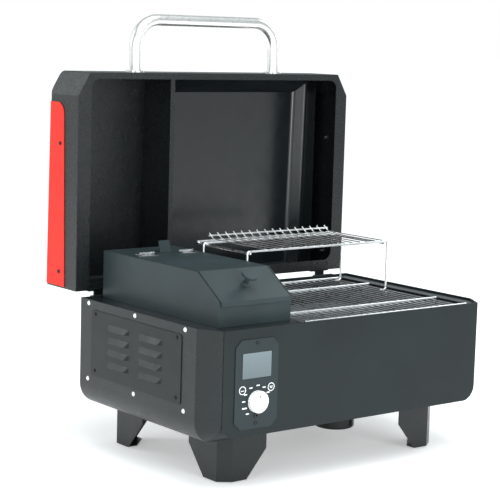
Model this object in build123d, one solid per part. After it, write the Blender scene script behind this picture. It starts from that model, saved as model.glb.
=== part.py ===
from build123d import *
from math import atan2, cos, degrees, pi, radians, sin, tan
import os

# Portable pellet smoker grill, lid open. Millimetres, +Z up, front faces -Y.
# Everything is modelled about the centre of the firebox; save() then shifts it so that
# the origin sits under the middle of the whole object.

# --- body ---
HALF_X = 310.0
HALF_Y = 193.0
BODY_TOP = 268.5
BODY_BOTTOM = 77.0
CHAMFER_X = 24.0
CHAMFER_Y = 41.0
CORNER = 27.0
END_ROLL = 40.0
SKIN = 1.5
FIT = 0.05
SEAM_X = HALF_X - CHAMFER_X
DECK_TOP = 265.5
PANEL_BOTTOM = 91.0

# --- cooking chamber ---
LINER_X0 = -110.0
LINER_X1 = 276.0
LINER_Y0 = -183.0
LINER_Y1 = 176.0
LINER_BOTTOM = 94.0
LINER_T = 1.2
GRATE_LEDGE = 261.9
TRAY_LEDGE = 204.0
POT_X = 85.0
POT_Y = -42.0

# --- lid, modelled closed and then swung open ---
RIM = 268.9
LID_FRONT = 96.0
LID_BACK = 105.0
LID_ROUND = 9.0
HINGE_Y = 205.2
HINGE_Z = 263.2
LID_OPEN = 90.0
HINGE_X = 259.0
DIVIDER_X = -105.0
LINER_SIDE = 271.0

# --- handle ---
HANDLE_X = 160.0
HANDLE_Z = RIM + 49.0
HANDLE_REACH = 94.0
HANDLE_R = 11.0
HANDLE_BEND = 48.0

# --- hopper ---
HOP_X0 = -268.4
HOP_X1 = -119.0
HOP_FRONT = -154.0
HOP_BACK = 187.0
HOP_TOP = 349.8
HOP_SPLIT = 104.8
HOP_AXIS_Z = 352.6
HOP_BEND_Y = -92.0
HOP_SLOPE = atan2(42.6, 64.6)

# --- auger line ---
AUGER_Z = 122.0
AUGER_X0 = -236.0
AUGER_X1 = 38.0
TUBE_R = 22.0

# --- controls ---
CP_X0 = -262.5
CP_X1 = -175.0
CP_Z0 = 103.5
CP_Z1 = 251.0
KNOB_X = -217.8
KNOB_Z = 148.3
KNOB_R = 18.3
KNOB_DEPTH = 10.0

# --- racks ---
GRATE_TOP = 267.2
GRATE_X = (-106.5, 272.0)
GRATE_RODS = (-176.7, -99.7, 83.2, 167.8)
RACK_X = (-81.0, 253.0)
RACK_Y = (15.5, 144.8)
RACK_TOP = 360.5

# --- feet ---
FOOT_X = 244.0
FOOT_FRONT = -142.0
FOOT_BACK = 187.0

KNOB_FACE = -HALF_Y - 1.5 - KNOB_DEPTH
LID_OUTER = HINGE_Y + (RIM + LID_BACK + 1.3) - HINGE_Z
LOUVRE_FACE = -HALF_X - 6.5
SCREW_FACE = HALF_X + 3.15
SHIFT_X = -(LOUVRE_FACE + SCREW_FACE) / 2
SHIFT_Y = -(KNOB_FACE + LID_OUTER) / 2

os.makedirs("parts", exist_ok=True)


def save(node, *shapes):
    """Write one node, shifted so that the origin is under the middle of the object."""
    solids = [s for shape in shapes for s in shape.solids()]
    export_step(Pos(SHIFT_X, SHIFT_Y, 0) * Compound(solids), f"parts/{node}.step")


def block(x, y, z):
    """Box from three (low, high) pairs."""
    size = Box(x[1] - x[0], y[1] - y[0], z[1] - z[0])
    return Pos((x[0] + x[1]) / 2, (y[0] + y[1]) / 2, (z[0] + z[1]) / 2) * size


def rod(start, end, r, r2=None):
    """Cylinder, or cone, between two points."""
    a, b = Vector(start), Vector(end)
    plane = Plane(origin=a, z_dir=b - a)
    low = (Align.CENTER, Align.CENTER, Align.MIN)
    if r2 is None:
        return plane * Cylinder(r, (b - a).length, align=low)
    return plane * Cone(r, r2, (b - a).length, align=low)


def ring(start, end, r, bore):
    """Tube between two points."""
    a, b = Vector(start), Vector(end)
    step = (b - a).normalized()
    return rod(a, b, r) - rod(a - step, b + step, bore)


def prism_xy(points, z):
    face = Plane.XY.offset(z[0]) * Polygon(*points, align=None)
    return extrude(face, z[1] - z[0], dir=(0, 0, 1))


def side_face(points, fillets=()):
    """Face in the YZ plane from (y, z) points; fillets are (corner point, radius)."""
    face = Plane.YZ * Polygon(*points, align=None)
    for (y, z), r in fillets:
        face = fillet(face.vertices().sort_by_distance((0, y, z))[0], r)
    return face


def prism_yz(points, x, fillets=()):
    return Pos(x[0], 0, 0) * extrude(side_face(points, fillets), x[1] - x[0], dir=(1, 0, 0))


def prism_xz(points, y, fillets=()):
    """Prism along Y from (x, z) points."""
    face = Plane.XZ * Polygon(*points, align=None)
    for (x, z), r in fillets:
        face = fillet(face.vertices().sort_by_distance((x, 0, z))[0], r)
    return Pos(0, y[0], 0) * extrude(face, y[1] - y[0], dir=(0, 1, 0))


def mirror_x(shape):
    return mirror(shape, about=Plane.YZ)


def swung(shape):
    """Swing a lid piece from closed to its open rest pose."""
    return shape.rotate(Axis((0, HINGE_Y, HINGE_Z), (1, 0, 0)), -LID_OPEN)


def pan_screw(at, out, r=3.2, head=1.8, shank=1.6, length=7.0):
    """Domed screw whose head sits on the point and faces along out."""
    p, n = Vector(at), Vector(out).normalized()
    dome = rod(p, p + n * head * 0.6, r) + rod(p + n * head * 0.6, p + n * head, r, r * 0.6)
    return dome + rod(p, p - n * length, shank) - rod(p + n * head * 0.5, p + n * (head + 1), r * 0.32)


# ---------------------------------------------------------------- body forms
def plan(t):
    """Outline of body and lid from above, inset by t; only the front corners are chamfered."""
    lean = atan2(CHAMFER_X, CHAMFER_Y)
    side = -HALF_Y + CHAMFER_Y + t * tan(lean / 2)
    front = SEAM_X - t * tan((pi / 2 - lean) / 2)
    x, y = HALF_X - t, HALF_Y - t
    return [(-x, y), (-x, side), (-front, -y), (front, -y), (x, side), (x, y)]


def section(y, half, low, r):
    """Cross-section of the body at y, rounded at its bottom corners."""
    face = Plane.XZ * Polygon((-half, low), (half, low), (half, 400), (-half, 400), align=None)
    for x in (-half, half):
        face = fillet(face.vertices().sort_by_distance((x, 0, low))[0], r)
    return Pos(0, y, 0) * face


def body_form(t):
    """Solid body inset by t: a chamfered nose behind the front face, then a straight run."""
    lean = atan2(CHAMFER_X, CHAMFER_Y)
    y = -HALF_Y + CHAMFER_Y + 0.22 * t
    half = SEAM_X - t * tan((pi / 2 - lean) / 2)
    face = section(-HALF_Y + t, half, PANEL_BOTTOM + 0.7 * t, CORNER - t)
    full = section(y, HALF_X - t, BODY_BOTTOM + t, END_ROLL - t)
    nose = loft([face, full], ruled=True)
    return nose + extrude(full, HALF_Y - t - y, dir=(0, 1, 0))


BELOW_TOP = block((-400, 400), (-300, 300), (0, BODY_TOP))
TUB_OUT = SKIN + FIT
TUB_IN = 2 * SKIN + FIT


def body_tub():
    tub = (body_form(TUB_OUT) - body_form(TUB_IN)) & BELOW_TOP
    tub -= block((CP_X0 + 8, CP_X1 - 8), (-200, -180), (CP_Z0 + 14, CP_Z1 - 14))
    tub -= block((-320, -300), (-100, 140), (150, 240))
    tub -= rod((POT_X, POT_Y, 60), (POT_X, POT_Y, 90), 33.4)
    for i in range(6):
        tub -= block((30 + 20 * i, 40 + 20 * i), (180, 200), (200, 232))
    for i in range(9):
        tub -= block((-262 + 12 * i, -256 + 12 * i), (180, 200), (175, 215))
    tub -= block((-224, -196), (180, 200), (112, 132))
    tub -= block((-170, -150), (180, 200), (112, 132))
    return tub


def end_cap(sign):
    shell = (body_form(0) - body_form(SKIN)) & BELOW_TOP
    keep = block((SEAM_X + 0.3, HALF_X + 5), (-200, 200), (0, 300))
    cap = shell & (keep if sign > 0 else mirror_x(keep))
    if sign < 0:
        cap -= block((-320, -300), (-100, 140), (150, 240))
    return cap


def front_panel():
    x = SEAM_X - 0.3
    z1 = BODY_TOP
    panel = prism_xz(
        [(-x, PANEL_BOTTOM), (x, PANEL_BOTTOM), (x, z1), (-x, z1)],
        (-HALF_Y, -HALF_Y + SKIN),
        [((-x, PANEL_BOTTOM), CORNER), ((x, PANEL_BOTTOM), CORNER)],
    )
    return panel - block((CP_X0 + 8, CP_X1 - 8), (-200, -180), (CP_Z0 + 14, CP_Z1 - 14))


def top_deck():
    deck = prism_xy(plan(TUB_IN + FIT), (DECK_TOP - SKIN, DECK_TOP))
    deck -= block((LINER_X0, LINER_X1), (LINER_Y0, LINER_Y1), (200, 300))
    deck -= block((HOP_X0 + 3, HOP_X1 - 3), (HOP_FRONT + 3, 100), (200, 300))
    return deck


def chamber_liner():
    t = LINER_T
    top = DECK_TOP - SKIN - FIT
    liner = block((LINER_X0 - t, LINER_X1 + t), (LINER_Y0 - t, LINER_Y1 + t), (LINER_BOTTOM, top))
    liner -= block((LINER_X0, LINER_X1), (LINER_Y0, LINER_Y1), (LINER_BOTTOM + t, top + 1))
    for z, x_in in ((GRATE_LEDGE, 8), (TRAY_LEDGE, 14)):
        for x0, x1 in ((LINER_X0, LINER_X0 + x_in), (LINER_X1 - x_in, LINER_X1)):
            liner += block((x0, x1), (LINER_Y0, LINER_Y1), (z - 1.5, z))
    liner -= rod((POT_X, POT_Y, 80), (POT_X, POT_Y, 100), 33.4)
    liner -= rod((LINER_X0 - 5, POT_Y, AUGER_Z), (LINER_X0 + 5, POT_Y, AUGER_Z), TUBE_R + 0.3)
    for i in range(6):
        liner -= block((30 + 20 * i, 40 + 20 * i), (170, 180), (212, 232))
    return liner


# ---------------------------------------------------------------- side vent
VENT_Y = (-113.0, 156.0)
VENT_Z = (136.5, 252.5)
VENT_T = 1.2
VENT_SCREWS = [(y, z) for y in (-98.5, 145.0) for z in (146.0, 245.5)]


def louvre(y, z, inset):
    """Solid of one louvre hood, open below; inset shrinks it to make the hollow."""
    y0, y1 = y[0] + inset, y[1] - inset
    x = -HALF_X - VENT_T + 0.2
    reach = x - LOUVRE_FACE - inset
    low = z - 3 * inset
    wedge = prism_xz([(x, low), (x - reach, low), (x - reach, z), (x, z + 10 - inset)], (y0, y1))
    ends = prism_xy([(x, y0), (x - reach, y0 + 9), (x - reach, y1 - 9), (x, y1)], (z - 5, z + 15))
    return wedge & ends


def vent_panel():
    x = (-HALF_X - VENT_T, -HALF_X - FIT)
    panel = block(x, VENT_Y, VENT_Z)
    panel = fillet(panel.edges().filter_by(Axis.X), 5)
    for y in ((38.9, 104.0), (-58.4, 8.8)):
        for i in range(4):
            z = 160.5 + 21.4 * i
            panel -= block((-320, -300), (y[0] + 7, y[1] - 7), (z, z + 6))
            panel += louvre(y, z, 0) - louvre(y, z, 0.9)
    for y, z in VENT_SCREWS:
        panel -= rod((-320, y, z), (-300, y, z), 2.0)
    return panel


def rivets():
    out = []
    for side in (-1, 1):
        for y in (-121.0, 23.5, 167.0):
            for z in (128.0, 262.0):
                x = side * HALF_X
                head = rod((x, y, z), (x + side * 1.4, y, z), 4.0, 3.0)
                out.append(head)
    return out


# ---------------------------------------------------------------- controls
PANEL_FACE = -HALF_Y - 1.5


def control_panel():
    c = 12.0
    pts = [(CP_X0 + c, CP_Z0), (CP_X1 - c, CP_Z0), (CP_X1, CP_Z0 + c), (CP_X1, CP_Z1 - c)]
    pts += [(CP_X1 - c, CP_Z1), (CP_X0 + c, CP_Z1), (CP_X0, CP_Z1 - c), (CP_X0, CP_Z0 + c)]
    plate = prism_xz(pts, (PANEL_FACE, -HALF_Y - FIT))
    plate -= block((-248.5, -189.5), (-200, -190), (187.0, 229.0))
    plate -= rod((KNOB_X, -200, KNOB_Z), (KNOB_X, -180, KNOB_Z), 4.0)
    plate -= rod((KNOB_X, -200, 124.8), (KNOB_X, -180, 124.8), 3.6)
    for z in (112.0, 244.5):
        plate -= rod((KNOB_X - 1, -200, z), (KNOB_X - 1, -180, z), 2.0)
    return plate


def display_window():
    window = block((-248.3, -189.7), (PANEL_FACE - 0.6, -HALF_Y + 1), (187.2, 228.8))
    return fillet(window.edges().filter_by(Axis.Y), 1.5)


def control_board():
    board = block((-252, -184), (-184.0, -182.4), (106, 246))
    board += block((-246, -192), (-191.8, -184), (189, 227))
    board += block((-240, -222), (-182.4, -170), (118, 136))
    board += block((-212, -196), (-182.4, -166), (150, 176))
    return board


def encoder():
    body = block((KNOB_X - 7, KNOB_X + 7), (-191.5, -184.2), (KNOB_Z - 7, KNOB_Z + 7))
    body += rod((KNOB_X, -185, KNOB_Z), (KNOB_X, -191.8, KNOB_Z), 3.6)
    return body + rod((KNOB_X, -191, KNOB_Z), (KNOB_X, PANEL_FACE - 6.4, KNOB_Z), 3.0)


def selector_knob():
    face = KNOB_FACE
    knob = rod((KNOB_X, PANEL_FACE - 0.8, KNOB_Z), (KNOB_X, face, KNOB_Z), KNOB_R)
    knob = fillet(knob.edges().sort_by(Axis.Y)[0], 2.0)
    knob -= rod((KNOB_X, PANEL_FACE, KNOB_Z), (KNOB_X, PANEL_FACE - 6.8, KNOB_Z), 3.05)
    for i in range(24):
        a = radians(15 * i)
        x, z = KNOB_X + (KNOB_R + 0.6) * cos(a), KNOB_Z + (KNOB_R + 0.6) * sin(a)
        knob -= rod((x, PANEL_FACE, z), (x, face + 3.0, z), 1.1)
    return knob


def probe_jack():
    nut = ring((KNOB_X, PANEL_FACE - 1.8, 124.8), (KNOB_X, PANEL_FACE - FIT, 124.8), 4.2, 1.8)
    return nut + ring((KNOB_X, PANEL_FACE - 1.0, 124.8), (KNOB_X, -184.2, 124.8), 3.5, 1.8)


# ---------------------------------------------------------------- hopper
def hopper_outline(drop, front):
    """Side profile of the hopper, drop below the lid's top face."""
    z = HOP_TOP - drop
    bend = HOP_BEND_Y - 0.3
    low = z - (bend - front) * tan(HOP_SLOPE)
    return z, bend, low


def hopper_box():
    z, bend, low = hopper_outline(0.3, HOP_FRONT)
    pts = [(HOP_FRONT, DECK_TOP + FIT), (HOP_BACK, DECK_TOP + FIT), (HOP_BACK, HOP_TOP)]
    pts += [(HOP_SPLIT + 1.0, HOP_TOP), (HOP_SPLIT + 1.0, z), (bend, z), (HOP_FRONT, low)]
    box = prism_yz(pts, (HOP_X0, HOP_X1))
    t = 1.5
    inner = [(HOP_FRONT + t, 260), (100.0, 260), (100.0, 360), (HOP_FRONT + t, 360)]
    box -= prism_yz(inner, (HOP_X0 + t, HOP_X1 - t))
    rear = [(101.5, 260), (HOP_BACK - t, 260), (HOP_BACK - t, HOP_TOP - t), (101.5, HOP_TOP - t)]
    rear_keep = prism_yz(rear, (HOP_X0 + t, HOP_X1 - t))
    box -= rear_keep - block((-400, 400), (101, HOP_SPLIT + 2.5), (z - 4.5, 400))
    z, bend, low = hopper_outline(2.5, HOP_FRONT - 20)
    seat = [(HOP_FRONT - 20, 400), (HOP_FRONT - 20, low), (bend, z), (HOP_SPLIT + 1.0, z)]
    return box - prism_yz(seat + [(HOP_SPLIT + 1.0, 400)], (HOP_X0 + t, HOP_X1 - t))


def hopper_funnel():
    """Funnel from the hopper mouth down to the auger tube."""
    top, bottom = DECK_TOP - SKIN - FIT, AUGER_Z + TUBE_R + 6.3
    cx = -192.0

    def loft_between(t):
        hi = Plane.XY.offset(top) * Pos((HOP_X0 + HOP_X1) / 2, -27) * Rectangle(143 - 2 * t, 247 - 2 * t)
        lo = Plane.XY.offset(bottom) * Pos(cx, POT_Y) * Rectangle(46 - 2 * t, 34 - 2 * t)
        return loft([hi.face(), lo.face()])

    funnel = loft_between(0) - loft_between(1.2)
    spout = block((cx - 23, cx + 23), (POT_Y - 17, POT_Y + 17), (AUGER_Z + 14, bottom + 0.4))
    spout -= block((cx - 21.8, cx + 21.8), (POT_Y - 15.8, POT_Y + 15.8), (AUGER_Z, bottom + 2))
    spout -= rod((-300, POT_Y, AUGER_Z), (0, POT_Y, AUGER_Z), TUBE_R + FIT)
    return funnel + spout


def hopper_lid():
    x = (HOP_X0 + 3.5, HOP_X1 - 3.5)
    t = 1.6
    front = -156.6
    low = HOP_TOP - (HOP_BEND_Y - front) * tan(HOP_SLOPE)
    pts = [(HOP_SPLIT - 1.0, HOP_TOP), (HOP_BEND_Y, HOP_TOP), (front, low), (front, low - 8)]
    pts += [(front + t, low - 8), (front + t, low - 0.8), (HOP_BEND_Y + 0.6, HOP_TOP - t)]
    pts += [(HOP_SPLIT - 1.0, HOP_TOP - t)]
    return prism_yz(pts, x)


HOP_HINGES = (-232.0, -150.0)


def butt_hinge(x, fixed):
    """One half of a small butt hinge; the fixed half carries the pin."""
    axis = (HOP_SPLIT, HOP_AXIS_Z)
    spans = [(-14.5, -7.2), (7.2, 14.5)] if fixed else [(-6.9, 6.9)]
    side = 1 if fixed else -1
    ys = sorted((axis[0] + side * 1.2, axis[0] + side * 15))
    leaf = block((x - 14.5, x + 14.5), ys, (HOP_TOP + FIT, HOP_TOP + 1.1))
    for a, b in spans:
        leaf += rod((x + a, *axis), (x + b, *axis), 2.4)
        web = sorted((axis[0], axis[0] + side * 3.0))
        leaf += block((x + a, x + b), web, (HOP_TOP + 0.3, HOP_TOP + 1.1))
    if not fixed:
        leaf -= rod((x - 8, *axis), (x + 8, *axis), 1.25)
        return leaf - block((x - 20, x - 6.9), (HOP_SPLIT - 3.2, 200), (340, 370)) - block(
            (x + 6.9, x + 20), (HOP_SPLIT - 3.2, 200), (340, 370)
        )
    leaf -= block((x - 7.2, x + 7.2), (90, HOP_SPLIT + 3.2), (340, 370))
    return leaf + rod((x - 14, *axis), (x + 14, *axis), 1.2)


def stop_bracket():
    """Upright tab on the rear cover, leaning back."""
    z = HOP_TOP + FIT
    side = [(120, z), (138, z), (138, z + 1.6), (122.2, z + 1.6), (128.5, z + 20), (126.9, z + 20)]
    tab = prism_yz(side, (-194.5, -169.5))
    wide = prism_xz([(-194.5, 340), (-169.5, 340), (-171.5, 380), (-192.5, 380)], (110, 150))
    return tab & wide


def on_slope(y, rise):
    """Point on the lid's sloping front, rise above it."""
    z = HOP_TOP - (HOP_BEND_Y - y) * tan(HOP_SLOPE)
    return (-193.7, y - rise * sin(HOP_SLOPE), z + rise * cos(HOP_SLOPE))


def hopper_knob():
    y = -125.0
    knob = rod(on_slope(y, FIT), on_slope(y, 3.0), 7.0, 5.0)
    knob += rod(on_slope(y, 2.5), on_slope(y, 19.0), 4.2)
    knob += rod(on_slope(y, 17.0), on_slope(y, 19.0), 5.0, 14.0)
    disc = rod(on_slope(y, 19.0), on_slope(y, 23.0), 14.0)
    return knob + disc


# ---------------------------------------------------------------- feed and fire
def auger_tube():
    tube = ring((AUGER_X0 - 4, POT_Y, AUGER_Z), (AUGER_X1, POT_Y, AUGER_Z), TUBE_R, TUBE_R - 1.5)
    return tube - block((-213.0, -171.0), (POT_Y - 15, POT_Y + 15), (AUGER_Z + 5, AUGER_Z + 40))


def auger():
    x0, x1 = AUGER_X0, AUGER_X1 - 4
    shaft = rod((x0 - 18, POT_Y, AUGER_Z), (x1, POT_Y, AUGER_Z), 5.0)
    path = Helix(pitch=34, height=x1 - x0 - 20, radius=11.5)
    blade = Plane(origin=path @ 0, z_dir=path % 0, x_dir=(1, 0, 0)) * Rectangle(14.4, 2.4)
    flight = sweep(blade, path=path, is_frenet=True)
    flight = Pos(x0 + 14, POT_Y, AUGER_Z) * Rot(0, 90, 0) * flight
    return shaft + flight


def auger_motor():
    x = AUGER_X0 - 4.3
    motor = block((x - 30, x), (POT_Y - 32, POT_Y + 32), (AUGER_Z - 26, AUGER_Z + 26))
    motor += rod((x - 52, POT_Y + 6, AUGER_Z), (x - 29, POT_Y + 6, AUGER_Z), 21)
    return motor - rod((x - 20, POT_Y, AUGER_Z), (x + 1, POT_Y, AUGER_Z), 5.05)


def fire_pot():
    z0 = LINER_BOTTOM + LINER_T + 0.3
    pot = ring((POT_X, POT_Y, z0), (POT_X, POT_Y, 166), 46, 44)
    pot += ring((POT_X, POT_Y, z0), (POT_X, POT_Y, z0 + 2), 46, 31)
    pot += ring((POT_X, POT_Y, 69), (POT_X, POT_Y, z0 + 2), 33, 31)
    for side in (-1, 1):
        lug = rod((POT_X + side * 32, POT_Y, 71.2), (POT_X + side * 34.4, POT_Y, 71.2), 1.4)
        pot += lug
    pot -= rod((0, POT_Y, AUGER_Z), (POT_X, POT_Y, AUGER_Z), TUBE_R + 0.2)
    for i in range(9):
        a = radians(120 + 30 * i + 180)
        d = Vector(cos(a), sin(a), 0)
        p = Vector(POT_X, POT_Y, 108)
        pot -= rod(p + d * 40, p + d * 50, 3)
        pot -= rod(p + d * 40 + Vector(0, 0, 34), p + d * 50 + Vector(0, 0, 34), 3)
    return pot - rod((POT_X, POT_Y + 38, 118), (POT_X, POT_Y + 60, 118), 5.3)


def igniter():
    hot = rod((POT_X, POT_Y + 22, 118), (POT_X, POT_Y + 96, 118), 5.0)
    return hot + rod((POT_X, POT_Y + 92, 118), (POT_X, POT_Y + 112, 118), 8.0)


def heat_baffle():
    x, y = (POT_X - 95, POT_X + 95), (POT_Y - 75, POT_Y + 120)
    top = block(x, y, (183, 185))
    for a in (x[0], x[1] - 2):
        side = block((a, a + 2), y, (LINER_BOTTOM + LINER_T + 0.4, 184))
        top += side - block((a - 1, a + 3), (y[0] + 20, y[1] - 20), (80, 160))
    return top


def drip_tray():
    x, y = (LINER_X0 + 9.0, LINER_X1 - 9.0), (LINER_Y0 + 4, LINER_Y1 - 4)
    z = TRAY_LEDGE + 0.3
    tray = block(x, y, (z, z + 14))
    tray -= block((x[0] + 1.2, x[1] - 1.2), (y[0] + 1.2, y[1] - 1.2), (z + 1.2, z + 20))
    return tray


def ash_cup():
    cup = rod((POT_X, POT_Y, 36), (POT_X, POT_Y, 76), 36.5)
    cup = fillet(cup.edges().sort_by(Axis.Z)[0], 5)
    cup -= rod((POT_X, POT_Y, 38), (POT_X, POT_Y, 73), 34.8)
    cup -= rod((POT_X, POT_Y, 72), (POT_X, POT_Y, 80), 33.3)
    return cup - block((POT_X - 4, POT_X + 4), (POT_Y - 34.7, POT_Y + 34.7), (72, 80))


FAN_X = (-296.0, -271.0)
FAN_Y = 86.0
FAN_Z = 152.0


def fan_housing():
    fan = block(FAN_X, (FAN_Y - 40, FAN_Y + 40), (FAN_Z - 40, FAN_Z + 40))
    fan = fillet(fan.edges().filter_by(Axis.X), 5)
    fan -= rod((FAN_X[0] - 1, FAN_Y, FAN_Z), (FAN_X[1] + 1, FAN_Y, FAN_Z), 38)
    fan += rod((FAN_X[1] - 3, FAN_Y, FAN_Z), (FAN_X[1], FAN_Y, FAN_Z), 15)
    for a in (45, 135, 225, 315):
        u, v = cos(radians(a)), sin(radians(a))
        arm = rod((FAN_X[1] - 1.5, FAN_Y + 13 * u, FAN_Z + 13 * v), (FAN_X[1] - 1.5, FAN_Y + 40 * u, FAN_Z + 40 * v), 1.5)
        fan += arm
        fan -= rod((FAN_X[0] - 1, FAN_Y + 50 * u, FAN_Z + 50 * v), (FAN_X[1] + 1, FAN_Y + 50 * u, FAN_Z + 50 * v), 2.2)
    return fan + rod((FAN_X[1] - 12, FAN_Y, FAN_Z), (FAN_X[1] - 2, FAN_Y, FAN_Z), 2.0)


def fan_rotor():
    x0, x1 = FAN_X[0] + 1, FAN_X[1] - 3.6
    hub = rod((x0, FAN_Y, FAN_Z), (x1, FAN_Y, FAN_Z), 15)
    for i in range(7):
        blade = Box(1.4, 22, 22)
        blade = Rot(0, 0, 38) * blade
        blade = Pos(0, 0, 25) * blade
        blade = Rot(360 / 7 * i, 0, 0) * blade
        hub += Pos((x0 + x1) / 2, FAN_Y, FAN_Z) * blade
    limit = rod((x0, FAN_Y, FAN_Z), (x1, FAN_Y, FAN_Z), 36.5)
    return (hub & limit) - rod((FAN_X[1] - 13, FAN_Y, FAN_Z), (FAN_X[1], FAN_Y, FAN_Z), 2.05)


# ---------------------------------------------------------------- rear fittings
BACK_FACE = HALF_Y - TUB_OUT


def power_inlet():
    body = block((-223.8, -196.2), (165, BACK_FACE + 1), (112.2, 131.8))
    body += block((-228, -192), (BACK_FACE + FIT, BACK_FACE + 2.5), (106, 138))
    body -= block((-220.5, -199.5), (174, 200), (115.5, 128.5))
    for x in (-216, -210, -204):
        body += block((x - 1, x + 1), (173, 188), (120, 124.5))
    return body


def switch_bezel():
    body = block((-169.8, -150.2), (172, BACK_FACE + 1), (112.2, 131.8))
    body += block((-173, -147), (BACK_FACE + FIT, BACK_FACE + 2), (109, 135))
    return body - block((-168, -152), (175, 200), (114, 130))


def rocker():
    pts = [(176, 115.8), (BACK_FACE + 4.0, 115.8), (BACK_FACE + 1.2, 122), (BACK_FACE + 1.8, 128.2)]
    pts += [(176, 128.2)]
    body = prism_yz(pts, (-167.6, -152.4)) & rod((-170, 184, 122), (-150, 184, 122), 12.6)
    keep = rod((-170, 184, 122), (-150, 184, 122), 7.5) + block((-170, -150), (184, 200), (110, 134))
    return body & keep


# ---------------------------------------------------------------- feet
FOOT_SCREWS = ((60, 16), (18, 66))


def foot(sx, sy, y_out):
    """One bent-sheet foot; built for the front left corner, then mirrored into place."""
    x0, y0 = -FOOT_X, FOOT_FRONT
    cx, cy, reach_x, reach_y = 21.0, 15.4, 92.0, 95.0
    z1 = BODY_BOTTOM + TUB_OUT - FIT
    outer = [(x0, y0 + reach_y), (x0, y0 + cy), (x0 + cx, y0), (x0 + reach_x, y0)]
    outer += [(x0 + reach_x, y0 + reach_y)]
    t = 2.0
    inner = [(x0 + t, 0), (x0 + t, y0 + cy + 1.1), (x0 + cx + 0.7, y0 + t), (0, y0 + t), (0, 0)]
    body = prism_xy(outer, (1.5, z1)) - prism_xy(inner, (0, z1 - t))
    body -= prism_yz([(y0 + 51.6, 0), (y0 + 51.6, 1.5), (y0 + reach_y, 52), (0, 52), (0, 0)], (x0 - 1, x0 + t))
    body -= prism_xz([(x0 + 51.5, 0), (x0 + 51.5, 1.5), (x0 + reach_x, 50), (0, 50), (0, 0)], (y0 - 1, y0 + t))
    sole = [(x0 + 1, y0 + 51.6), (x0 + 20, y0 + 51.6), (x0 + 51.5, y0 + 20), (x0 + 51.5, y0 + 1)]
    sole += [(x0 + cx, y0 + 1), (x0 + 1, y0 + cy)]
    body += prism_xy(sole, (1.5, 3.5)) & prism_xy(outer, (0, 10))
    for dx, dy in FOOT_SCREWS:
        body -= rod((x0 + dx, y0 + dy, 60), (x0 + dx, y0 + dy, 90), 1.7)
    gusset = [(x0 + reach_x, y0 + 30), (x0 + 30, y0 + reach_y), (x0 + reach_x, y0 + reach_y)]
    body -= prism_xy(gusset, (60, 90))
    return place_foot(body, sx, sy, y_out)


def place_foot(body, sx, sy, y_out):
    if sx > 0:
        body = mirror_x(body)
    if sy > 0:
        body = Pos(0, y_out + FOOT_FRONT, 0) * mirror(body, about=Plane.XZ)
    return body


FEET = {
    "foot_front_left": (-1, -1, FOOT_FRONT),
    "foot_front_right": (1, -1, FOOT_FRONT),
    "foot_back_left": (-1, 1, FOOT_BACK),
    "foot_back_right": (1, 1, FOOT_BACK),
}


def foot_pads():
    pad = rod((-FOOT_X + 24, FOOT_FRONT + 24, 0), (-FOOT_X + 24, FOOT_FRONT + 24, 1.45), 12)
    return [place_foot(pad, *place) for place in FEET.values()]


def foot_screws():
    z = BODY_BOTTOM + TUB_OUT - FIT - 2
    out = []
    for place in FEET.values():
        for dx, dy in FOOT_SCREWS:
            screw = pan_screw((-FOOT_X + dx, FOOT_FRONT + dy, z - FIT), (0, 0, -1), length=1.8)
            out.append(place_foot(screw, *place))
    return out


# ---------------------------------------------------------------- lid
LID_LEAN = degrees(atan2(LID_BACK - LID_FRONT, 2 * HALF_Y))


def lid_top(y):
    """Height of the closed lid's top face at y."""
    return RIM + LID_FRONT + (LID_BACK - LID_FRONT) * (y + HALF_Y) / (2 * HALF_Y)


def lid_form(t):
    """Closed lid as a solid, inset by t."""
    x, y = HALF_X - t, HALF_Y - t
    r = LID_ROUND - t
    outline = prism_xy(plan(t), (RIM, RIM + 150))
    top = RIM + LID_FRONT - t + 0.05
    ends = prism_xz(
        [(-x, RIM - 60), (x, RIM - 60), (x, top), (-x, top)],
        (-HALF_Y - 60, HALF_Y + 60),
        [((-x, top), r), ((x, top), r)],
    )
    ends = ends.rotate(Axis((0, -HALF_Y, RIM + LID_FRONT), (1, 0, 0)), LID_LEAN)
    za, zb = lid_top(-y) - t, lid_top(y) - t
    sides = prism_yz(
        [(-y, RIM - 1), (y, RIM - 1), (y, zb), (-y, za)],
        (-x - 1, x + 1),
        [((-y, za), r), ((y, zb), r)],
    )
    return outline & ends & sides


RIM_TOP = RIM + SKIN + FIT
HINGE_SCREW_X = (-19.0, -6.0, 17.0)


def lid_shell():
    above = block((-400, 400), (-300, 300), (RIM_TOP, 500))
    return (lid_form(0) - lid_form(SKIN)) & above


def lid_rim_frame():
    frame = prism_xy(plan(0), (RIM, RIM + SKIN))
    hole = block((DIVIDER_X, 283), (-HALF_Y + 11.6, HALF_Y - 20), (RIM - 1, RIM + 5))
    hole = fillet(hole.edges().filter_by(Axis.Z).group_by(Axis.X)[-1], 17)
    left = block((-283, DIVIDER_X - 9.3), (-HALF_Y + 11.6, HALF_Y - 3), (RIM - 1, RIM + 5))
    left = fillet(left.edges().filter_by(Axis.Z).group_by(Axis.X)[0].sort_by(Axis.Y)[0], 17)
    frame -= hole
    frame -= left
    frame -= block((DIVIDER_X - 10, DIVIDER_X + 1), (-HALF_Y + 11.6, HALF_Y - 20), (RIM - 1, RIM + 5))
    for side in (-1, 1):
        for dx in HINGE_SCREW_X:
            x, y = side * (HINGE_X + dx), HALF_Y - 14.6
            if y < HALF_Y - 3 and not (-283 < x < DIVIDER_X - 9):
                frame -= rod((x, y, RIM - 1), (x, y, RIM + 5), 1.8)
    return frame


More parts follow.
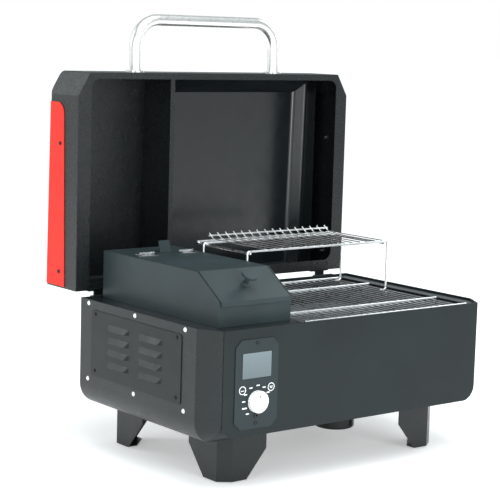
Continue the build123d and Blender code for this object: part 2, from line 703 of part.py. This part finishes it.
def lid_divider():
    y0, y1 = -HALF_Y + 12.0, HALF_Y - 20.4
    z0, z1 = lid_top(y0) - 1.7, lid_top(y1) - 1.7
    plate = prism_yz([(y0, RIM), (y1, RIM), (y1, z1), (y0, z0)], (DIVIDER_X - 1.5, DIVIDER_X))
    return plate + block((DIVIDER_X - 9, DIVIDER_X), (y0, y1), (RIM, RIM + SKIN))


def liner_form(t):
    """Inside heat shield of the lid: bent down at the front and folded twice at the right."""
    gap, bend, fold = 0.25, 37.0, 20.0
    x0, x1 = DIVIDER_X + 0.2, LINER_SIDE - t
    y0, y1 = -HALF_Y + SKIN + gap, HALF_Y - SKIN - gap
    off = SKIN + gap + t
    pts = [(y0, RIM), (y1, RIM), (y1, lid_top(y1) - off), (y0 + bend, lid_top(y0 + bend) - off)]
    pts += [(y0, lid_top(y0) - off - bend)]
    sides = prism_yz(pts, (x0 - 1, x1 + 1))
    top = RIM + LID_FRONT - off + 0.05
    r = 16 - t
    ends = prism_xz(
        [(x0, RIM - 60), (x1, RIM - 60), (x1, top - fold), (x1 - fold, top), (x0, top)],
        (-HALF_Y - 60, HALF_Y + 60),
        [((x1, top - fold), r), ((x1 - fold, top), r)],
    )
    ends = ends.rotate(Axis((0, -HALF_Y, RIM + LID_FRONT), (1, 0, 0)), LID_LEAN)
    return sides & ends & block((x0, x1), (y0, y1), (RIM, 500))


def lid_liner():
    keep = block((-400, 400), (-300, 300), (RIM + 48, 500))
    sheet = (liner_form(0) - liner_form(1.0)) & keep
    return sheet & lid_form(SKIN + 0.25)


def lid_cover():
    """Coloured saddle over the top and both ends."""
    y0, y1 = -138.6, 190.0
    keep = prism_yz(
        [(y0, RIM + 46.6), (y1, RIM + 38.8), (y1, 500), (y0, 500)],
        (-400, 400),
        [((y0, RIM + 46.6), 22)],
    )
    cover = (lid_form(-1.3) - lid_form(-FIT)) & keep
    for side in (-1, 1):
        for y in COVER_SCREWS:
            cover -= rod((side * 300, y, RIM + 57), (side * 320, y, RIM + 57), 2.2)
    return cover


COVER_SCREWS = (-65.7, 164.0)


def drill_cover_holes(shape):
    for side in (-1, 1):
        for y in COVER_SCREWS:
            shape -= rod((side * 300, y, RIM + 57), (side * 320, y, RIM + 57), 2.2)
    return shape


def handle_tube():
    y0, y1 = -HALF_Y - 2.6, -HALF_Y - HANDLE_REACH
    pts = [(-HANDLE_X, y0, HANDLE_Z), (-HANDLE_X, y1, HANDLE_Z), (HANDLE_X, y1, HANDLE_Z)]
    path = FilletPolyline(*pts, (HANDLE_X, y0, HANDLE_Z), radius=HANDLE_BEND)
    start = Plane(origin=pts[0], z_dir=(0, -1, 0))
    return sweep(start * Circle(HANDLE_R), path=path) - sweep(start * Circle(HANDLE_R - 1.5), path=path)


def handle_flange(x):
    flange = rod((x, -HALF_Y - FIT, HANDLE_Z), (x, -HALF_Y - 2.5, HANDLE_Z), 17.5)
    flange += ring((x, -HALF_Y - 2.4, HANDLE_Z), (x, -HALF_Y - 4.5, HANDLE_Z), 13, HANDLE_R + FIT)
    return flange - rod((x, -180, HANDLE_Z), (x, -220, HANDLE_Z), 4.1)


def handle_bolt(x):
    bolt = rod((x, -HALF_Y + SKIN + 0.1, HANDLE_Z), (x, -HALF_Y - 22, HANDLE_Z), 4.0)
    head = RegularPolygon(7.5, 6)
    base = Plane(origin=(x, -HALF_Y + SKIN + 0.1, HANDLE_Z), z_dir=(0, 1, 0))
    return bolt + extrude(base * head, 5.0)


def lid_hinge_leaf(side):
    """Moving half: a plate on the lid's back, carried round to the middle knuckle."""
    x = sorted((side * (HINGE_X - 10.7), side * (HINGE_X + 10.7)))
    wide = sorted((side * (HINGE_X - 22), side * (HINGE_X + 22)))
    leaf = block(wide, (HALF_Y + FIT, HALF_Y + 2.5), (272, 300))
    leaf += block(x, (HALF_Y + 1, HINGE_Y + 1.5), (272, 275))
    leaf += block(x, (HINGE_Y - 1.5, HINGE_Y + 1.5), (HINGE_Z, 275))
    leaf += rod((x[0], HINGE_Y, HINGE_Z), (x[1], HINGE_Y, HINGE_Z), 4.5)
    return leaf - rod((x[0] - 1, HINGE_Y, HINGE_Z), (x[1] + 1, HINGE_Y, HINGE_Z), 2.55)


def lid_hinge_bracket(side):
    """Fixed half: a plate on the body's back with two knuckles."""
    wide = sorted((side * (HINGE_X - 23), side * (HINGE_X + 23)))
    inner = sorted((side * (HINGE_X - 11), side * (HINGE_X + 11)))
    plate = block(wide, (BACK_FACE + FIT, BACK_FACE + 2.5), (228, 264.7))
    for a, b in ((wide[0], inner[0]), (inner[1], wide[1])):
        plate += block((a, b), (BACK_FACE + 1, HINGE_Y), (261.7, 264.7))
        plate += rod((a, HINGE_Y, HINGE_Z), (b, HINGE_Y, HINGE_Z), 4.5)
    plate -= block(inner, (BACK_FACE + 2.55, 220), (240, 270))
    return plate - rod((wide[0] - 1, HINGE_Y, HINGE_Z), (wide[1] + 1, HINGE_Y, HINGE_Z), 2.52)


def lid_hinge_pin(side):
    x = sorted((side * (HINGE_X - 24.5), side * (HINGE_X + 24.5)))
    pin = rod((x[0], HINGE_Y, HINGE_Z), (x[1], HINGE_Y, HINGE_Z), 2.5)
    return pin + rod((x[1], HINGE_Y, HINGE_Z), (x[1] + 1.5, HINGE_Y, HINGE_Z), 4.0)


# ---------------------------------------------------------------- racks
WIRE_R = 1.1
WIRE_Z = GRATE_TOP - 4.6 - WIRE_R


def main_grate():
    """Fine wires front to back, with four heavier rods welded across their tops."""
    out = []
    for y in GRATE_RODS:
        out.append(rod((GRATE_X[0], y, GRATE_TOP - 2.5), (GRATE_X[1], y, GRATE_TOP - 2.5), 2.5))
    n = 25
    first, last = GRATE_X[0] + 7, GRATE_X[1] - 7
    for i in range(n):
        x = first + (last - first) * i / (n - 1)
        out.append(rod((x, GRATE_RODS[0] - 3.2, WIRE_Z), (x, GRATE_RODS[-1] + 3.2, WIRE_Z), WIRE_R))
    return welded(out)


def welded(wires):
    return wires[0].fuse(*wires[1:])


def bent_wire(points, r, bend):
    """Round wire along a polyline with rounded corners."""
    path = FilletPolyline(*points, radius=bend)
    start = Plane(origin=points[0], z_dir=Vector(points[1]) - Vector(points[0]))
    return sweep(start * Circle(r), path=path)


def warming_rack():
    x0, x1 = RACK_X
    y0, y1 = RACK_Y
    z = RACK_TOP - 3.6
    low = WIRE_Z + WIRE_R + 2.3
    back = y1 + 24.0
    out = []
    for y in (y0, y1):
        pts = [(x0 + 14, y, low), (x0, y, low), (x0, y, z), (x1, y, z), (x1, y, low)]
        pts += [(x1 - 14, y, low)]
        out.append(bent_wire(pts, 2.0, 5.5))
    for x in (x0, x1):
        side = 1 if x == x0 else -1
        px = x + side * 7.0
        out.append(rod((px, y0 - 0.5, z - 3.6), (px, back + 0.5, z - 3.6), 2.0))
    out.append(rod((x0 + 3, back, z), (x1 - 3, back, z), 2.0))
    top = z + 2.6
    for i in range(16):
        x = x0 + 41 + 18.6 * i
        pts = [(x, y0 - 2.0, top), (x, back + 1.0, top), (x, back + 14.0, top + 9.3)]
        out.append(bent_wire(pts, 1.0, 4.0))
    f = (x0 + 36, back + 10.4, top + 5.0)
    out.append(rod(f, (x0 + 41 + 18.6 * 15 + 5, f[1], f[2]), 1.6))
    return welded(out)


# ---------------------------------------------------------------- write every node
save("body_tub", body_tub())
save("left_end_cap", end_cap(-1))
save("right_end_cap", end_cap(1))
save("front_panel", front_panel())
save("top_deck", top_deck())
save("chamber_liner", chamber_liner())
save("vent_panel", vent_panel())
save(
    "vent_panel_screws",
    *[pan_screw((-HALF_X - VENT_T - FIT, y, z), (-1, 0, 0), length=1.1) for y, z in VENT_SCREWS],
)
save("end_cap_rivets", *rivets())
save("control_panel", control_panel())
save(
    "control_panel_screws",
    *[pan_screw((KNOB_X - 1, PANEL_FACE - FIT, z), (0, -1, 0), r=3.0, length=1.3) for z in (112.0, 244.5)],
)
save("display_window", display_window())
save("control_board", control_board())
save("dial_encoder", encoder())
save("selector_knob", selector_knob())
save("probe_jack", probe_jack())
save("hopper_box", hopper_box())
save("hopper_funnel", hopper_funnel())
save("hopper_lid", hopper_lid())
save("hopper_hinge_fixed", *[butt_hinge(x, True) for x in HOP_HINGES])
save("hopper_hinge_moving", *[butt_hinge(x, False) for x in HOP_HINGES])
save("hopper_stop_bracket", stop_bracket())
save("hopper_knob", hopper_knob())
save("auger_tube", auger_tube())
save("auger", auger())
save("auger_motor", auger_motor())
save("fire_pot", fire_pot())
save("igniter_rod", igniter())
save("heat_baffle", heat_baffle())
save("drip_tray", drip_tray())
save("ash_cup", ash_cup())
save("fan_housing", fan_housing())
save("fan_rotor", fan_rotor())
save("power_inlet", power_inlet())
save("switch_bezel", switch_bezel())
save("power_rocker", rocker())
for name, place in FEET.items():
    save(name, foot(*place))
save("foot_pads", *foot_pads())
save("foot_screws", *foot_screws())
shell = lid_shell()
middle = block((-SEAM_X, SEAM_X), (-300, 300), (0, 600))
right = block((SEAM_X + 0.1, 400), (-300, 300), (0, 600))
wrap = shell & middle
for x in (-HANDLE_X, HANDLE_X):
    wrap -= rod((x, -180, HANDLE_Z), (x, -200, HANDLE_Z), 4.2)
save("lid_wrap", swung(wrap))
save("lid_left_cap", swung(drill_cover_holes(shell & mirror_x(right))))
save("lid_right_cap", swung(drill_cover_holes(shell & right)))
save("lid_rim_frame", swung(lid_rim_frame()))
save("lid_divider", swung(lid_divider()))
save("lid_liner", swung(lid_liner()))
save("lid_cover", swung(lid_cover()))
cover_screws = []
cover_nuts = []
for side in (-1, 1):
    for y in COVER_SCREWS:
        at = (side * (HALF_X + 1.35), y, RIM + 57)
        cover_screws.append(swung(pan_screw(at, (side, 0, 0), r=3.6, shank=1.9, length=7.5)))
        nut = ring((side * (HALF_X - SKIN - 0.1), y, RIM + 57), (side * (HALF_X - SKIN - 3.6), y, RIM + 57), 3.6, 2.0)
        cover_nuts.append(swung(nut))
save("lid_cover_screws", *cover_screws)
save("lid_cover_nuts", *cover_nuts)
save("handle_tube", swung(handle_tube()))
save("handle_flanges", *[swung(handle_flange(x)) for x in (-HANDLE_X, HANDLE_X)])
save("handle_bolts", *[swung(handle_bolt(x)) for x in (-HANDLE_X, HANDLE_X)])
save("lid_hinge_leaves", *[swung(lid_hinge_leaf(side)) for side in (-1, 1)])
save("lid_hinge_brackets", *[lid_hinge_bracket(side) for side in (-1, 1)])
save("lid_hinge_pins", *[lid_hinge_pin(side) for side in (-1, 1)])
save(
    "lid_hinge_screws",
    *[
        swung(pan_screw((HINGE_X + dx, HALF_Y - 14.6, RIM - FIT), (0, 0, -1), r=2.8, head=1.1, shank=1.5, length=5))
        for dx in HINGE_SCREW_X
    ],
)
save("main_grate", main_grate())
save("warming_rack", warming_rack())
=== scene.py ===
import math

import bmesh
import bpy
from mathutils import Matrix, Vector


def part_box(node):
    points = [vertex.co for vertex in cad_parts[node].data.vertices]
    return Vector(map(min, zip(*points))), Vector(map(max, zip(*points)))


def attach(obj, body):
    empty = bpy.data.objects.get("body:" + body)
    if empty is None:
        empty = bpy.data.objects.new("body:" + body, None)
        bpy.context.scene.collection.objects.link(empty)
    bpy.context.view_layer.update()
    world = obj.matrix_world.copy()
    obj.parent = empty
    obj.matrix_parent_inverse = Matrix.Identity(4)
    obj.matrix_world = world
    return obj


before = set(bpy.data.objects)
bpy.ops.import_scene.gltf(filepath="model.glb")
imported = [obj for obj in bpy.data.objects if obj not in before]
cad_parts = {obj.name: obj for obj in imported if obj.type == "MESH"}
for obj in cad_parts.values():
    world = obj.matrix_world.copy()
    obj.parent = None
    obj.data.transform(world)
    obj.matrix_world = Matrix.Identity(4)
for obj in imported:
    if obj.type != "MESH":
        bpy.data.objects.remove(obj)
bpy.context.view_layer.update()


# ---------------------------------------------------------------- material helpers
def new_material(name):
    mat = bpy.data.materials.new(name)
    mat.use_nodes = True
    tree = mat.node_tree
    shader = tree.nodes["Principled BSDF"]
    coord = tree.nodes.new("ShaderNodeTexCoord")
    return mat, tree, shader, coord.outputs["Object"]


def noise(tree, vector, scale, detail=2.0, rough=0.5, stretch=None):
    if stretch is not None:
        mapping = tree.nodes.new("ShaderNodeMapping")
        mapping.inputs["Scale"].default_value = stretch
        tree.links.new(vector, mapping.inputs["Vector"])
        vector = mapping.outputs["Vector"]
    tex = tree.nodes.new("ShaderNodeTexNoise")
    tex.inputs["Scale"].default_value = scale
    tex.inputs["Detail"].default_value = detail
    tex.inputs["Roughness"].default_value = rough
    tree.links.new(vector, tex.inputs["Vector"])
    return tex.outputs["Fac"]


def ramp(tree, factor, stops):
    node = tree.nodes.new("ShaderNodeValToRGB")
    element = node.color_ramp.elements
    element[0].position, element[0].color = stops[0][0], (*stops[0][1], 1)
    element[1].position, element[1].color = stops[-1][0], (*stops[-1][1], 1)
    for pos, color in stops[1:-1]:
        mid = element.new(pos)
        mid.color = (*color, 1)
    tree.links.new(factor, node.inputs["Fac"])
    return node.outputs["Color"]


def spread(tree, factor, low, high, a=0.3, b=0.7):
    node = tree.nodes.new("ShaderNodeMapRange")
    node.inputs["From Min"].default_value = a
    node.inputs["From Max"].default_value = b
    node.inputs["To Min"].default_value = low
    node.inputs["To Max"].default_value = high
    tree.links.new(factor, node.inputs["Value"])
    return node.outputs["Result"]


def bump(tree, height, strength, distance, shader, edge=0.0):
    node = tree.nodes.new("ShaderNodeBump")
    node.inputs["Strength"].default_value = strength
    node.inputs["Distance"].default_value = distance
    tree.links.new(height, node.inputs["Height"])
    if edge > 0:
        soft = tree.nodes.new("ShaderNodeBevel")
        soft.samples = 4
        soft.inputs["Radius"].default_value = edge
        tree.links.new(soft.outputs["Normal"], node.inputs["Normal"])
    tree.links.new(node.outputs["Normal"], shader.inputs["Normal"])


def shade(color, k):
    return tuple(max(0.0, min(1.0, c * k)) for c in color)


def coat(name, color, rough, grain, strength, edge=0.0008, vary=0.14, spec=0.26, distance=0.0004):
    """Powder coat or paint: fine orange peel, faint cloudiness in tone and gloss."""
    mat, tree, shader, pos = new_material(name)
    cloud = noise(tree, pos, 9.0, 3.0)
    tree.links.new(
        ramp(tree, cloud, [(0.3, shade(color, 1 - vary)), (0.7, shade(color, 1 + vary))]),
        shader.inputs["Base Color"],
    )
    gloss = noise(tree, pos, 38.0, 2.0)
    tree.links.new(spread(tree, gloss, rough - 0.04, rough + 0.05), shader.inputs["Roughness"])
    bump(tree, noise(tree, pos, grain, 2.0, 0.6), strength, distance, shader, edge)
    shader.inputs["Specular IOR Level"].default_value = spec
    return mat


def metal(name, color, rough, stretch=(1, 1, 1), scale=300.0, strength=0.12, edge=0.0004, vary=0.08):
    """Bare metal; stretch squeezes the grain across the brushing direction."""
    mat, tree, shader, pos = new_material(name)
    shader.inputs["Metallic"].default_value = 1.0
    grain = noise(tree, pos, scale, 3.0, 0.6, stretch)
    tree.links.new(
        ramp(tree, grain, [(0.3, shade(color, 1 - vary)), (0.7, shade(color, 1 + vary))]),
        shader.inputs["Base Color"],
    )
    tree.links.new(spread(tree, grain, rough - 0.05, rough + 0.07), shader.inputs["Roughness"])
    bump(tree, grain, strength, 0.0001, shader, edge)
    return mat


def plastic(name, color, rough, grain=900.0, strength=0.08, coat_weight=0.0):
    mat, tree, shader, pos = new_material(name)
    cloud = noise(tree, pos, 60.0, 2.0)
    tree.links.new(
        ramp(tree, cloud, [(0.3, shade(color, 0.94)), (0.7, shade(color, 1.06))]), shader.inputs["Base Color"]
    )
    tree.links.new(spread(tree, cloud, rough - 0.04, rough + 0.04), shader.inputs["Roughness"])
    bump(tree, noise(tree, pos, grain, 2.0), strength, 0.0002, shader, 0.0003)
    shader.inputs["Coat Weight"].default_value = coat_weight
    return mat


# ---------------------------------------------------------------- materials
CHARCOAL = (0.0085, 0.0120, 0.0130)
BLUE_GREY = (0.0270, 0.0400, 0.0440)
LID_BLACK = (0.0075, 0.0095, 0.0102)
MAT = {
    "hammered": coat("hammered_charcoal", CHARCOAL, 0.30, 560.0, 0.75, spec=0.36, distance=0.0006),
    "vent": coat("vent_charcoal", CHARCOAL, 0.34, 620.0, 0.45, 0.0),
    "lid_hammered": coat("lid_hammered", LID_BLACK, 0.26, 380.0, 0.9, spec=0.38, distance=0.0009),
    "front": coat("front_charcoal", (0.0088, 0.0140, 0.0155), 0.36, 700.0, 0.35),
    "deck": coat("deck_charcoal", (0.0150, 0.0175, 0.0190), 0.20, 900.0, 0.25, spec=0.7),
    "panel": coat("panel_charcoal", (0.0200, 0.0290, 0.0330), 0.38, 1100.0, 0.18),
    "hopper": coat("hopper_blue_grey", BLUE_GREY, 0.40, 1300.0, 0.12, 0.0012),
    "liner": coat("liner_charcoal", (0.0055, 0.0080, 0.0090), 0.22, 1100.0, 0.12, 0.0, spec=0.55),
    "enamel": coat("black_enamel", (0.008, 0.008, 0.009), 0.30, 700.0, 0.10),
    "red": coat("red_coat", (0.82, 0.022, 0.010), 0.45, 900.0, 0.12, 0.0008, 0.03),
    "stainless": metal("brushed_stainless", (0.93, 0.91, 0.90), 0.30, (1, 9, 9), 120.0, 0.01),
    "bright": metal("bright_steel", (0.78, 0.78, 0.79), 0.20, (1, 1, 1), 200.0, 0.08),
    "chrome": metal("chromed_wire", (0.93, 0.93, 0.93), 0.30, (1, 1, 1), 90.0, 0.0, 0.0),
    "galvanised": metal("galvanised_sheet", (0.42, 0.44, 0.46), 0.42, (1, 1, 1), 60.0, 0.10),
    "cast": metal("cast_zinc", (0.45, 0.45, 0.46), 0.48, (1, 1, 1), 500.0, 0.25),
    "black_screw": metal("black_screw", (0.05, 0.05, 0.055), 0.38, (1, 1, 1), 400.0, 0.10),
    "rivet": plastic("white_rivet", (0.90, 0.90, 0.88), 0.30, coat_weight=0.3),
    "knob": plastic("dial_silver_white", (0.93, 0.93, 0.94), 0.26, coat_weight=0.4),
    "print": plastic("printed_marks", (0.90, 0.92, 0.93), 0.5),
    "pointer": plastic("dial_pointer_grey", (0.72, 0.73, 0.75), 0.4),
    "black": plastic("black_plastic", (0.012, 0.012, 0.013), 0.42, 700.0, 0.15),
    "rubber": plastic("rubber_pad", (0.014, 0.014, 0.014), 0.75, 500.0, 0.30),
    "board": plastic("board_green", (0.02, 0.12, 0.05), 0.45),
}


def display_material():
    """Unlit display: blue-grey glass, with a painted reflection that makes it a little lighter towards the
    top.
    """
    mat, tree, shader, pos = new_material("display_glass")
    split = tree.nodes.new("ShaderNodeSeparateXYZ")
    tree.links.new(pos, split.inputs["Vector"])
    low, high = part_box("display_window")
    # painted reflection: the glass colour ramps lighter towards the top, standing in for overhead light on
    # the glass
    painted_sheen = spread(tree, split.outputs["Z"], 0.0, 1.0, low[2], high[2])
    tree.links.new(
        ramp(tree, painted_sheen, [(0.0, (0.080, 0.115, 0.130)), (1.0, (0.120, 0.160, 0.180))]),
        shader.inputs["Base Color"],
    )
    tree.links.new(spread(tree, noise(tree, pos, 80.0), 0.10, 0.16), shader.inputs["Roughness"])
    shader.inputs["Coat Weight"].default_value = 0.8
    return mat


MAT["display"] = display_material()

LOOK = {
    "body_tub": "front",
    "left_end_cap": "hammered",
    "right_end_cap": "hammered",
    "front_panel": "front",
    "top_deck": "deck",
    "chamber_liner": "enamel",
    "vent_panel": "vent",
    "vent_panel_screws": "black_screw",
    "end_cap_rivets": "rivet",
    "control_panel": "panel",
    "control_panel_screws": "black_screw",
    "display_window": "display",
    "control_board": "board",
    "dial_encoder": "cast",
    "selector_knob": "knob",
    "probe_jack": "black",
    "hopper_box": "hopper",
    "hopper_funnel": "galvanised",
    "hopper_lid": "hopper",
    "hopper_hinge_fixed": "bright",
    "hopper_hinge_moving": "bright",
    "hopper_stop_bracket": "hopper",
    "hopper_knob": "hopper",
    "auger_tube": "galvanised",
    "auger": "galvanised",
    "auger_motor": "cast",
    "fire_pot": "galvanised",
    "igniter_rod": "galvanised",
    "heat_baffle": "galvanised",
    "drip_tray": "galvanised",
    "ash_cup": "enamel",
    "fan_housing": "black",
    "fan_rotor": "black",
    "power_inlet": "black",
    "switch_bezel": "black",
    "power_rocker": "black",
    "foot_front_left": "hammered",
    "foot_front_right": "hammered",
    "foot_back_left": "hammered",
    "foot_back_right": "hammered",
    "foot_pads": "rubber",
    "foot_screws": "bright",
    "lid_wrap": "lid_hammered",
    "lid_left_cap": "lid_hammered",
    "lid_right_cap": "lid_hammered",
    "lid_rim_frame": "lid_hammered",
    "lid_divider": "lid_hammered",
    "lid_liner": "liner",
    "lid_cover": "red",
    "lid_cover_screws": "black_screw",
    "lid_cover_nuts": "bright",
    "handle_tube": "stainless",
    "handle_flanges": "stainless",
    "handle_bolts": "bright",
    "lid_hinge_leaves": "front",
    "lid_hinge_brackets": "front",
    "lid_hinge_pins": "black_screw",
    "lid_hinge_screws": "black_screw",
    "main_grate": "chrome",
    "warming_rack": "chrome",
}
for node, look in LOOK.items():
    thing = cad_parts[node]
    if not thing.material_slots:
        thing.data.materials.append(MAT[look])
    for material_slot in thing.material_slots:
        material_slot.material = MAT[look]


# ---------------------------------------------------------------- added detail
def make(name, bm, look, body):
    mesh = bpy.data.meshes.new(name)
    bm.normal_update()
    bm.to_mesh(mesh)
    bm.free()
    obj = bpy.data.objects.new(name, mesh)
    bpy.context.scene.collection.objects.link(obj)
    obj.data.materials.append(MAT[look])
    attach(obj, body)
    return obj


def ring_plate(bm, centre, r_out, r_in, y0, y1, steps=48):
    """Flat ring in an XZ plane, from y0 (front) to y1."""
    loops = []
    for r, y in ((r_in, y1), (r_in, y0), (r_out, y0), (r_out, y1)):
        verts = []
        for i in range(steps):
            a = 2 * math.pi * i / steps
            verts.append(bm.verts.new((centre[0] + r * math.cos(a), y, centre[1] + r * math.sin(a))))
        loops.append(verts)
    for k in range(4):
        a, b = loops[k], loops[(k + 1) % 4]
        for i in range(steps):
            j = (i + 1) % steps
            bm.faces.new((a[i], a[j], b[j], b[i]))
    bmesh.ops.recalc_face_normals(bm, faces=bm.faces)


def dash(bm, centre, width, height, y0, y1, turn=0.0, corner=0.3):
    """Small rounded bar in an XZ plane."""
    pts = []
    for sx, sz, start in ((1, 1, 0), (-1, 1, 90), (-1, -1, 180), (1, -1, 270)):
        r = corner * height
        cx, cz = sx * (width / 2 - r), sz * (height / 2 - r)
        for k in range(4):
            a = math.radians(start + 30 * k)
            pts.append((cx + r * math.cos(a), cz + r * math.sin(a)))
    c, s = math.cos(turn), math.sin(turn)
    rows = []
    for y in (y0, y1):
        rows.append([bm.verts.new((centre[0] + u * c - v * s, y, centre[1] + u * s + v * c)) for u, v in pts])
    n = len(pts)
    bm.faces.new(rows[0])
    bm.faces.new(list(reversed(rows[1])))
    for i in range(n):
        j = (i + 1) % n
        bm.faces.new((rows[0][j], rows[0][i], rows[1][i], rows[1][j]))
    bmesh.ops.recalc_face_normals(bm, faces=bm.faces)


mm = 0.001
panel_low, panel_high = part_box("control_panel")
knob_low, knob_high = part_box("selector_knob")
knob_x = (knob_low[0] + knob_high[0]) / 2
knob_z = (knob_low[2] + knob_high[2]) / 2
face = panel_low[1]
front, back = face - 0.15 * mm, face + 0.05 * mm

MARK_ANGLES = (28, 56, 85, 118, 150, 176, 227)
MARK_RADIUS = (26.5 * mm, 26.0 * mm)
LONG_MARK_ANGLE, LONG_MARK_RADIUS = 201, 26.0 * mm
ICON_OFFSET = (29.4 * mm, 20.6 * mm)
marks = bmesh.new()
for angle in MARK_ANGLES:
    a = math.radians(angle)
    spot = (knob_x + MARK_RADIUS[0] * math.cos(a), knob_z + MARK_RADIUS[1] * math.sin(a))
    dash(marks, spot, 6.5 * mm, 2.0 * mm, front, back)
a = math.radians(LONG_MARK_ANGLE)
spot = (knob_x + LONG_MARK_RADIUS * math.cos(a), knob_z + LONG_MARK_RADIUS * math.sin(a))
dash(marks, spot, 10.0 * mm, 2.2 * mm, front, back)
make("dial_marks", marks, "print", "firebox")

icons = bmesh.new()
for side in (-1, 1):
    spot = (knob_x + side * ICON_OFFSET[0], knob_z + ICON_OFFSET[1])
    ring_plate(icons, spot, 7.0 * mm, 5.7 * mm, front, back)
    dash(icons, (spot[0], spot[1] + 0.9 * mm * side), 7.0 * mm, 1.2 * mm, front, back)
    if side > 0:
        dash(icons, (spot[0], spot[1] - 1.6 * mm), 5.0 * mm, 1.2 * mm, front, back)
make("dial_icons", icons, "print", "firebox")


def knob_cap():
    """Slightly dished cap on the dial's face."""
    bm = bmesh.new()
    y = knob_low[1]
    profile = [(0.0, 0.25), (6.0, 0.35), (11.5, 0.75), (13.4, 0.9), (14.6, 0.7), (15.1, 0.2), (15.1, -0.3)]
    steps = 64
    rings = []
    for r, rise in profile[1:]:
        verts = []
        for i in range(steps):
            t = 2 * math.pi * i / steps
            across, up_face = r * mm * math.cos(t), r * mm * math.sin(t)
            verts.append(bm.verts.new((knob_x + across, y - rise * mm + 0.35 * mm, knob_z + up_face)))
        rings.append(verts)
    centre = bm.verts.new((knob_x, y - profile[0][1] * mm + 0.35 * mm, knob_z))
    for i in range(steps):
        j = (i + 1) % steps
        bm.faces.new((centre, rings[0][i], rings[0][j]))
        for k in range(len(rings) - 1):
            bm.faces.new((rings[k][i], rings[k + 1][i], rings[k + 1][j], rings[k][j]))
    bm.faces.new(rings[-1])
    bmesh.ops.recalc_face_normals(bm, faces=bm.faces)
    cap = make("dial_cap", bm, "knob", "dial")
    for poly in cap.data.polygons:
        poly.use_smooth = True
    return cap


knob_cap()
pointer = bmesh.new()
dash(
    pointer,
    (knob_x, knob_z + 9.5 * mm),
    1.2 * mm,
    4.5 * mm,
    knob_low[1] - 0.75 * mm,
    knob_low[1] + 0.1 * mm,
)
make("dial_pointer", pointer, "pointer", "dial")

# ---------------------------------------------------------------- floor
floor_mesh = bpy.data.meshes.new("floor")
bm = bmesh.new()
bmesh.ops.create_grid(bm, x_segments=2, y_segments=2, size=40.0)
bm.to_mesh(floor_mesh)
bm.free()
floor = bpy.data.objects.new("floor", floor_mesh)
bpy.context.scene.collection.objects.link(floor)
floor_mat, tree, shader, pos = new_material("pale_floor")
tree.links.new(
    ramp(tree, noise(tree, pos, 2.0), [(0.3, (0.90, 0.90, 0.90)), (0.7, (0.92, 0.92, 0.92))]),
    shader.inputs["Base Color"],
)
shader.inputs["Roughness"].default_value = 0.6
shader.inputs["Specular IOR Level"].default_value = 0.2
shader.inputs["Emission Color"].default_value = (1, 1, 1, 1)
# the floor glows a little, more so far away, so that it meets the white sky
reach = tree.nodes.new("ShaderNodeVectorMath")
reach.operation = "LENGTH"
tree.links.new(pos, reach.inputs[0])
tree.links.new(spread(tree, reach.outputs["Value"], 0.36, 0.66, 0.6, 3.0), shader.inputs["Emission Strength"])
floor.data.materials.append(floor_mat)

# ---------------------------------------------------------------- light
world = bpy.data.worlds.new("studio")
bpy.context.scene.world = world
world.use_nodes = True
# the camera sees white; everything else is lit by a dimmer, cooler sky
sky = world.node_tree
seen = sky.nodes.new("ShaderNodeLightPath")
tint = sky.nodes.new("ShaderNodeMix")
tint.data_type = "RGBA"
tint.inputs["A"].default_value = (0.43, 0.47, 0.48, 1)
tint.inputs["B"].default_value = (1.0, 1.0, 1.0, 1)
sky.links.new(seen.outputs["Is Camera Ray"], tint.inputs["Factor"])
sky.links.new(tint.outputs["Result"], sky.nodes["Background"].inputs["Color"])
sky.nodes["Background"].inputs["Strength"].default_value = 1.0


def soft_box(name, at, target, size, power, color=(1, 1, 1)):
    data = bpy.data.lights.new(name, "AREA")
    data.shape = "RECTANGLE"
    data.size, data.size_y = size
    data.energy = power
    data.color = color
    lamp = bpy.data.objects.new(name, data)
    bpy.context.scene.collection.objects.link(lamp)
    lamp.visible_camera = False
    lamp.location = at
    lamp.rotation_euler = (Vector(target) - Vector(at)).to_track_quat("-Z", "Y").to_euler()
    return lamp


COOL = (0.96, 1.0, 1.0)
soft_box("top_box", (-0.3, -0.6, 2.4), (0, 0, 0.3), (2.0, 2.0), 44, COOL)
soft_box("left_box", (-2.5, -1.3, 0.9), (-0.1, 0, 0.4), (0.8, 1.4), 20, COOL)
soft_box("front_box", (-0.1, -2.8, 0.9), (0.1, 0, 0.4), (0.7, 1.5), 34, COOL)
soft_box("back_left_box", (-1.9, 2.3, 1.7), (-0.2, 0, 0.3), (1.4, 1.4), 24, COOL)
soft_box("right_box", (2.0, 0.3, 1.4), (0.1, 0.1, 0.35), (0.7, 1.6), 16, COOL)

# ---------------------------------------------------------------- camera
camera_data = bpy.data.cameras.new("camera")
camera_data.sensor_width = 36.0
camera_data.lens = 114.95
camera_data.clip_end = 100.0
camera = bpy.data.objects.new("camera", camera_data)
bpy.context.scene.collection.objects.link(camera)
azimuth, pitch, roll = math.radians(-38.21), math.radians(7.70), math.radians(1.67)
ahead = Vector((-math.sin(azimuth) * math.cos(pitch), math.cos(azimuth) * math.cos(pitch), -math.sin(pitch)))
right = ahead.cross(Vector((0, 0, 1))).normalized()
up = right.cross(ahead)
rolled_right = right * math.cos(roll) + up * math.sin(roll)
rolled_up = up * math.cos(roll) - right * math.sin(roll)
turn = Matrix((rolled_right, rolled_up, -ahead)).transposed().to_4x4()
target = Vector((-0.0872 + 0.001675, -0.05635, 0.3627))
CAMERA_DISTANCE = 2.7817
camera.matrix_world = Matrix.Translation(target - ahead * CAMERA_DISTANCE) @ turn
bpy.context.scene.camera = camera
bpy.context.scene.view_settings.view_transform = "Standard"
